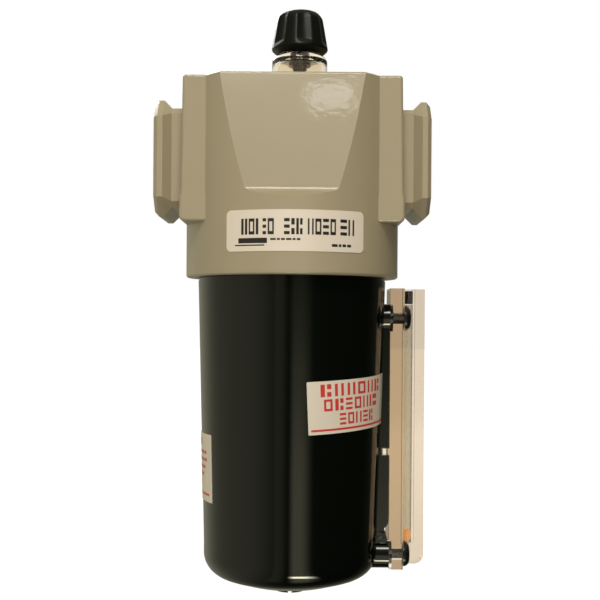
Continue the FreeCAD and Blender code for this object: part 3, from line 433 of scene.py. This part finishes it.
BOWL_TOP, BOWL_LOW = (31.25, -39.1), (28.9, -125.9)      # radius and height of the taper's ends
HEAD_RADIUS = 35.3
FILM = 0.2                                # thickness of a label
PRINT_LIFT, PRINT_DEEP, PRINT_CORNER = 0.225, 0.02, 0.08


def bowl_radius(height):
    """Radius of the bowl's tapered wall at a height: a straight line between its two ends."""
    share = (height - BOWL_LOW[1]) / (BOWL_TOP[1] - BOWL_LOW[1])
    return BOWL_LOW[0] + share * (BOWL_TOP[0] - BOWL_LOW[0])


def head_wall(height):
    """Radius of the head's round wall, the same at every height."""
    return HEAD_RADIUS + 0 * height


LABELS = {
    "head_label": {"azimuth": 2.2, "up": -24.85, "tilt": 0.0, "half": 22.6, "tall": 6.35,
                   "radius": head_wall, "body": "head_body", "corner": 1.6},
    "level_label": {"azimuth": 45.9, "up": -78.6, "tilt": 2.8, "half": 18.9, "tall": 8.25,
                    "radius": bowl_radius, "body": "bowl_body", "corner": 0.3},
    "side_label": {"azimuth": -102.0, "up": -100.3, "tilt": 0.0, "half": 22.4, "tall": 11.0,
                   "radius": bowl_radius, "body": "bowl_body", "corner": 0.3},
}


def on_label(label, across, along, lift):
    """Place on a bent label: across and along are turned by the label's tilt, across then runs
    round the wall as arc length over radius, and lift is the distance off the wall."""
    tilt = math.radians(label["tilt"])
    side = across * math.cos(tilt) - along * math.sin(tilt)
    height = label["up"] + across * math.sin(tilt) + along * math.cos(tilt)
    radius = label["radius"](height)
    angle = math.radians(label["azimuth"]) + side / label["radius"](label["up"])
    reach = radius + lift
    return np.stack([PORT + reach * np.sin(angle), -reach * np.cos(angle),
                     np.broadcast_to(height, reach.shape)], axis=-1)


def film_mesh(name, label, middle, half, tall, lift, corner, thick):
    """Thin bent sheet: at each place across, its half height is tall, less the drop of a quarter
    circle inside the corner radius; the last rows fold back to the wall as its edge."""
    arc = np.linspace(0, math.pi / 2, 7)
    ends = half - corner + corner * np.sin(arc)
    flat = np.linspace(-(half - corner), half - corner, max(3, int(half / 0.5)))
    across = np.concatenate([-ends[::-1], flat[1:-1], ends])
    inside = np.clip(np.abs(across) - (half - corner), 0, corner)
    reach = tall - corner + np.sqrt(np.clip(corner ** 2 - inside ** 2, 0, None))
    share = np.concatenate([[-1], np.linspace(-1, 1, 9), [1]])
    height = share[:, None] * reach
    off = np.full(height.shape, lift)
    off[0], off[-1] = lift - thick, lift - thick
    across = np.broadcast_to(across, height.shape)
    points = on_label(label, across + middle[0], height + middle[1], off)
    for column in (0, -1):
        side, level = across[:, column] + middle[0], height[:, column] + middle[1]
        rim = on_label(label, side, level, lift - thick)[:, None]
        points = np.concatenate([rim, points] if column == 0 else [points, rim], axis=1)
    return grid_mesh(name, points)


def print_blocks(name, label, rows, finish):
    """Plain print on a label: each row is (height up, half height, [(from, to, kind), ...]), a kind
    being a set of patches (left, right, low, high) in shares of the sign's box."""
    meshes = []
    for up, tall, spans in rows:
        for start, stop, *kind in spans:
            long = stop - start
            for left, right, low, high in SIGNS[kind[0] if kind else "block"]:
                middle = (start + long * (left + right) / 2, up - tall + tall * (low + high))
                half, rise = long * (right - left) / 2, tall * (high - low)
                meshes.append(film_mesh(name, label, middle, half, rise, PRINT_LIFT, PRINT_CORNER,
                                        PRINT_DEEP))
    dress(name, joined(name, meshes), "label_film", label["body"], finish=finish)


SIGNS = {
    "block": [(0, 1, 0, 1)],
    "frame": [(0, 0.26, 0, 1), (0.74, 1, 0, 1), (0.26, 0.74, 0.8, 1), (0.26, 0.74, 0, 0.2)],
    "stack": [(0, 1, 0.8, 1), (0, 1, 0.4, 0.6), (0, 1, 0, 0.2)],
    "posts": [(0, 0.28, 0, 1), (0.72, 1, 0, 1)],
    "bricks": [(0, 1, 0.6, 1), (0, 1, 0, 0.38)],
    "chips": [(0, 0.4, 0, 1), (0.6, 1, 0.6, 1), (0.6, 1, 0, 0.38)],
}


def bars(start, widths, gap, kinds=("block",)):
    """Signs side by side, with the given widths, one gap, and the kinds used in turn."""
    spans = []
    for place, width in enumerate(widths):
        spans.append((start, start + width, kinds[place % len(kinds)]))
        start += width + gap
    return spans


def make_labels():
    for node, label in LABELS.items():
        mesh = film_mesh(node + "_film", label, (0, 0), label["half"], label["tall"], FILM,
                         label["corner"], FILM)
        dress(node + "_film", mesh, "label_film", label["body"], (node,), 60)
    print_blocks("head_label_print", LABELS["head_label"], [
        (1.2, 2.45, bars(-17.2, (0.8, 0.8, 1.9, 0.8), 0.45, ("block", "block", "frame", "block"))
         + bars(-10.2, (1.1, 1.9), 0.5, ("stack", "frame"))
         + bars(-3.6, (1.7, 1.0, 1.9), 0.5, ("stack", "bricks", "chips"))
         + bars(3.6, (1.8, 1.9, 1.9, 1.8), 0.5, ("posts", "frame", "stack", "frame"))
         + bars(14.0, (2.3, 2.1), 0.5, ("stack", "posts"))),
        (-3.1, 0.8, [(-18.2, -8.8)]),
        (-4.5, 0.2, [(-19.4, -9.6)]),
        (-2.7, 0.3, bars(-7.8, (1.7, 0.9, 1.2, 1.6, 0.9, 1.1), 0.35)),
        (-4.4, 0.42, bars(11.2, (1.9, 0.9, 1.2, 1.4), 0.4)),
    ], "black_print")
    print_blocks("level_label_print", LABELS["level_label"], [
        (5.3, 1.95, bars(-14.6, (3.6, 1.0, 3.4, 1.0, 3.6, 3.2, 3.6), 1.25,
                         ("chips", "block", "posts", "block", "frame", "posts", "chips"))),
        (0.7, 1.85, bars(-13.6, (2.9, 3.0, 2.7, 3.0, 2.7, 1.0, 2.8), 0.95,
                         ("frame", "chips", "stack", "frame", "posts", "block", "bricks"))),
        (-3.9, 1.8, bars(-8.2, (2.4, 2.5, 2.7, 2.5, 2.3), 0.8,
                         ("stack", "frame", "posts", "stack", "chips"))),
        (-7.0, 0.33, [(-18.0, 18.4)]),
    ], "red_print")
    print_blocks("side_label_print", LABELS["side_label"], [
        (8.2, 1.1, bars(-12.0, (1.7, 1.4, 1.7, 1.2, 1.6, 1.7, 1.4, 1.6, 1.2, 1.7, 1.5, 2.2), 0.6)),
        (5.0, 0.5, bars(-19.0, (2.9, 1.8, 3.6, 2.4, 1.6, 3.3, 2.6, 1.8, 3.9, 2.2, 3.0, 2.0), 0.6)),
        (2.6, 0.5, bars(-19.0, (1.8, 3.9, 2.2, 3.1, 2.7, 1.6, 3.4, 2.6, 3.2, 1.9, 2.4, 2.6), 0.6)),
        (0.2, 0.5, bars(-19.0, (3.2, 2.1, 1.9, 3.7, 2.8, 2.0, 3.0, 1.7, 2.5, 3.3, 2.1, 1.6), 0.6)),
        (-2.2, 0.5, bars(-19.0, (2.2, 3.0, 3.4, 1.6, 2.9, 3.1, 1.9, 2.4, 3.5, 1.9, 2.7), 0.6)),
        (-5.4, 0.7, bars(-19.0, (3.6, 2.2, 4.1, 2.6, 3.3, 2.4, 3.9, 3.0), 0.7)),
        (-8.6, 0.35, [(-20.4, 20.4)]),
    ], "red_print")


# Threads

THREAD_RADIUS, THREAD_DEPTH, THREAD_PITCH, THREAD_TURNS = 13.1, 0.75, 1.81, 7
THREAD_STEPS = 64                         # grid rows in one turn
THREAD_RIDGE = np.array([(-0.46, -0.12), (-0.42, 0.0), (-0.07, 1.0), (0.07, 1.0), (0.42, 0.0),
                         (0.46, -0.12)])  # along in shares of the pitch, off the wall in depths


def port_thread(name, mouth, along):
    """Internal thread of a port, a closed ridge swept along a helix: at turn angle a the ridge's
    middle is at the mouth plus pitch times a over a full turn along X. Its crest stands off the
    wall by the depth, which eases in and out at the two ends, and its root lies in the wall."""
    angle = np.linspace(0, TURN * THREAD_TURNS, THREAD_STEPS * THREAD_TURNS + 1)
    fade = np.clip(np.minimum(angle, angle[-1] - angle) / (math.pi * 0.8), 0.02, 1)[:, None]
    slide = THREAD_RIDGE[:, 0] * THREAD_PITCH * (0.35 + 0.65 * fade)
    place = mouth + along * (THREAD_PITCH * angle[:, None] / TURN + slide)
    reach = THREAD_RADIUS - THREAD_RIDGE[:, 1] * THREAD_DEPTH * fade
    across, up = reach * np.cos(angle)[:, None], reach * np.sin(angle)[:, None]
    mesh = grid_mesh(name, np.stack([place, across, up], axis=-1), wrap_columns=True, caps=True)
    dress(name, mesh, "head_paint", "head_body", angle=50)


# Web

def make_web_foot():
    """Foot of the gauge's web: square loops stacked down the web's end, each step a little wider
    and deeper than the one above, down onto the lower boss."""
    back = 72.6
    loops = []
    for half, reach, height in ((2.2, 76.0, -120.9), (2.2, 76.0, -122.7), (3.0, 76.4, -122.7),
                                (3.0, 76.4, -124.3), (3.7, 76.8, -124.3), (3.7, 76.8, -126.2)):
        loops.append([(back, -half, height), (reach, -half, height), (reach, half, height),
                      (back, half, height)])
    mesh = grid_mesh("web_foot", np.array(loops), wrap_columns=True, caps=True)
    dress("web_foot", mesh, "bowl_enamel", "bowl_body", edge=0.3)


# Sight gauge

def make_bore_tint():
    """Tinted clear column in the gauge's bore, closed, round the float's axis; it bends light
    hardly at all and darkens the bore.
    """
    places = np.array([corner.co for corner in frame["nodes"]["float_ball"].data.vertices]) / MM
    centre = (places.min(0) + places.max(0)) / 2
    radius, low, high = 2.32, -127.65, -46.6
    outline = [(0, low), (radius, low), (radius, high), (0, high)]
    tube = lathe_mesh("bore_tint", outline, centre[:2], 48)
    dress("bore_tint", tube, "clear_plastic", "bowl_body", finish="bore_tint")


# Pieces

THREAD_INSET = 1.4       # from a port's face to the start of its thread

make_knob()
make_labels()
make_web_foot()
make_bore_tint()
port_thread("inlet_thread", THREAD_INSET, 1)
port_thread("outlet_thread", 2 * PORT - THREAD_INSET, -1)
# The sight gauge takes the thick clear finish, whose tan is partly painted room light.
soften("sight_gauge", 0.25, finish="clear_thick")
# The drain plug takes brass painted dark with shade.
soften("drain_plug", 0.12, finish="brass_painted_dark")
for node, edge in (("head", 0.25), ("bowl", 0.2), ("gauge_screws", 0.12),
                   ("sight_dome", 0.12), ("fill_plug", 0.12), ("gauge_plug", 0.0)):
    soften(node, edge)
# The drip nozzle and riser tube take brass painted dark with shade; the rest keep their slot's
# finish.
for node, item in frame["nodes"].items():
    finish = "brass_painted_dark" if node in ("drip_nozzle", "riser_tube") else SLOT_OF[node]
    item.data.materials.clear()
    item.data.materials.append(FINISHES[finish])


# Stage

PICTURE, FOCAL = 600, 1084                # width of the picture and focal length, in pixels
SENSOR = 36
FLOOR_DROP = 17 * MM                      # room for the bowl and the drain plug to screw out
WARM = (1.0, 0.985, 0.96)

scene = bpy.context.scene
scene.view_settings.view_transform = "Standard"


def make_camera():
    """Level camera in front, turned by the photograph's small lean."""
    lens = bpy.data.cameras.new("camera")
    lens.sensor_width = SENSOR
    lens.lens = SENSOR * FOCAL / PICTURE
    lens.shift_y = 22 / PICTURE
    lens.clip_start = 0.01
    camera = bpy.data.objects.new("camera", lens)
    camera.location = ((PORT + 2.79) * MM, -364.2 * MM, -52.7 * MM)
    camera.rotation_euler = (math.radians(90), math.radians(-0.4), 0)
    scene.collection.objects.link(camera)
    scene.camera = camera


def make_lamp(name, place, aim, size, power, colour=(1, 1, 1), gloss=True):
    """Rectangular soft lamp at a place, facing an aim, both in millimetres. It isn't seen through
    glass, and one without gloss adds no highlight."""
    light = bpy.data.lights.new(name, "AREA")
    light.shape = "RECTANGLE"
    light.size, light.size_y = size[0] * MM, size[1] * MM
    light.energy = power
    light.color = colour
    lamp = bpy.data.objects.new(name, light)
    lamp.visible_transmission = False
    lamp.visible_glossy = gloss
    lamp.location = Vector(place) * MM
    lamp.rotation_euler = (Vector(aim) - Vector(place)).to_track_quat("-Z", "Y").to_euler()
    scene.collection.objects.link(lamp)


def make_world():
    """White seen straight or through glass; for light and gloss a warm room: bright to the left
    near the horizon, dark to the right, a narrow bright strip low in front and a soft ceiling."""
    world = bpy.data.worlds.new("studio")
    world.use_nodes = True
    scene.world = world
    tree = world.node_tree
    tree.nodes.clear()

    def band(source, start, stop, low, high):
        """Strength that goes softly from low to high as the source goes from start to stop."""
        span = tree.nodes.new("ShaderNodeMapRange")
        span.interpolation_type = "SMOOTHSTEP"
        ends = {"From Min": start, "From Max": stop, "To Min": low, "To Max": high}
        for socket, number in ends.items():
            span.inputs[socket].default_value = number
        tree.links.new(source, span.inputs["Value"])
        return span.outputs["Result"]

    def join(operation, *sources):
        """Sources put together in turn by one operation."""
        total = sources[0]
        for source in sources[1:]:
            node = tree.nodes.new("ShaderNodeMath")
            node.operation = operation
            tree.links.new(total, node.inputs[0])
            tree.links.new(source, node.inputs[1])
            total = node.outputs[0]
        return total

    place = tree.nodes.new("ShaderNodeTexCoord")
    split = tree.nodes.new("ShaderNodeSeparateXYZ")
    tree.links.new(place.outputs["Generated"], split.inputs[0])
    across, depth, up = split.outputs
    left = join("MULTIPLY", band(across, -0.9, -0.05, 0.43, 0.0), band(up, 0.1, 0.6, 1.0, 0.15))
    seam = join("MULTIPLY", band(across, -0.38, -0.28, 0.0, 0.16),
                band(across, -0.2, -0.06, 1.0, 0.0), band(depth, -0.3, 0.0, 1.0, 0.0))
    behind = join("MULTIPLY", band(depth, 0.2, 0.95, 0.03, 0.25), band(across, 0.1, 0.7, 1.0, 0.3))
    above = band(up, 0.3, 0.95, 0.0, 0.55)
    spot = join("MULTIPLY", band(up, -0.86, -0.81, 0.0, 26.0), band(up, -0.77, -0.72, 1.0, 0.0))
    glow = join("ADD", band(up, -0.24, 0.0, 0.95, 0.14), spot)
    strip = join("MULTIPLY", band(across, -0.05, 0.1, 0.0, 1.0), band(across, 0.2, 0.5, 1.0, 0.0),
                 band(depth, -0.3, 0.0, 1.0, 0.0), glow)
    room = tree.nodes.new("ShaderNodeBackground")
    room.inputs["Color"].default_value = (1.0, 0.96, 0.7, 1)
    tree.links.new(join("ADD", left, seam, behind, above, strip), room.inputs["Strength"])
    white = tree.nodes.new("ShaderNodeBackground")
    white.inputs["Color"].default_value = (1, 1, 1, 1)
    path = tree.nodes.new("ShaderNodeLightPath")
    mix = tree.nodes.new("ShaderNodeMixShader")
    straight = join("MAXIMUM", path.outputs["Is Camera Ray"], path.outputs["Is Transmission Ray"])
    tree.links.new(straight, mix.inputs[0])
    tree.links.new(room.outputs[0], mix.inputs[1])
    tree.links.new(white.outputs[0], mix.inputs[2])
    out = tree.nodes.new("ShaderNodeOutputWorld")
    tree.links.new(mix.outputs[0], out.inputs["Surface"])


def make_floor():
    """Pale floor; straight views see it almost white, with the object's shadow, and whiter with the
    distance from the object by a painted glow that grows where the lamps' light falls off; from
    below it is open."""
    mesh = bpy.data.meshes.new("floor")
    level = cad_low[2] - FLOOR_DROP
    corners = [(-3, -1.2, level), (3, -1.2, level), (3, 4, level), (-3, 4, level)]
    mesh.from_pydata(corners, [], [(0, 1, 2, 3)])
    floor = bpy.data.objects.new("floor", mesh)
    scene.collection.objects.link(floor)
    pale = finish_of("pale_floor", (0.3, 0.3, 0.3), 0.8)
    shader = shader_of(pale)
    shader.inputs["Specular IOR Level"].default_value = 0.0
    path = add_node(pale, "ShaderNodeLightPath")
    straight = add_node(pale, "ShaderNodeMath", operation="MAXIMUM")
    wire(pale, path.outputs["Is Camera Ray"], straight.inputs[0])
    wire(pale, path.outputs["Is Transmission Ray"], straight.inputs[1])
    place = add_node(pale, "ShaderNodeTexCoord")
    far = add_node(pale, "ShaderNodeVectorMath", operation="LENGTH")
    wire(pale, place.outputs["Object"], far.inputs[0])
    glow = add_node(pale, "ShaderNodeMath", operation="MULTIPLY")
    # Painted light: the floor's glow grows from 0.8 near the object to 1.0 far off, where the
    # lamps' light falls off.
    wire(pale, ramp(pale, far.outputs["Value"], 0.8, 1.0, (0.2, 0.7)), glow.inputs[1])
    wire(pale, straight.outputs[0], glow.inputs[0])
    shader.inputs["Emission Color"].default_value = (1, 1, 1, 1)
    wire(pale, glow.outputs[0], shader.inputs["Emission Strength"])
    side = add_node(pale, "ShaderNodeNewGeometry")
    under = add_node(pale, "ShaderNodeMath", operation="MULTIPLY")
    wire(pale, side.outputs["Backfacing"], under.inputs[0])
    wire(pale, path.outputs["Is Camera Ray"], under.inputs[1])
    mix = add_node(pale, "ShaderNodeMixShader")
    wire(pale, under.outputs[0], mix.inputs[0])
    wire(pale, shader.outputs["BSDF"], mix.inputs[1])
    wire(pale, add_node(pale, "ShaderNodeBsdfTransparent").outputs["BSDF"], mix.inputs[2])
    wire(pale, mix.outputs[0], output_of(pale).inputs["Surface"])
    mesh.materials.append(pale)
    floor.visible_glossy = False


make_camera()
make_world()
make_floor()
make_lamp("key", (40, -470, 470), (44, 0, -30), (260, 180), 1.95, WARM)
make_lamp("front", (52, -700, -40), (44, 0, -40), (500, 400), 2.5, WARM, gloss=False)
make_lamp("glint", (72, -555, 302), (50, -27, 15), (40, 20), 0.02)
make_lamp("back", (-160, 520, 360), (44, 0, -40), (420, 260), 3.0, WARM)
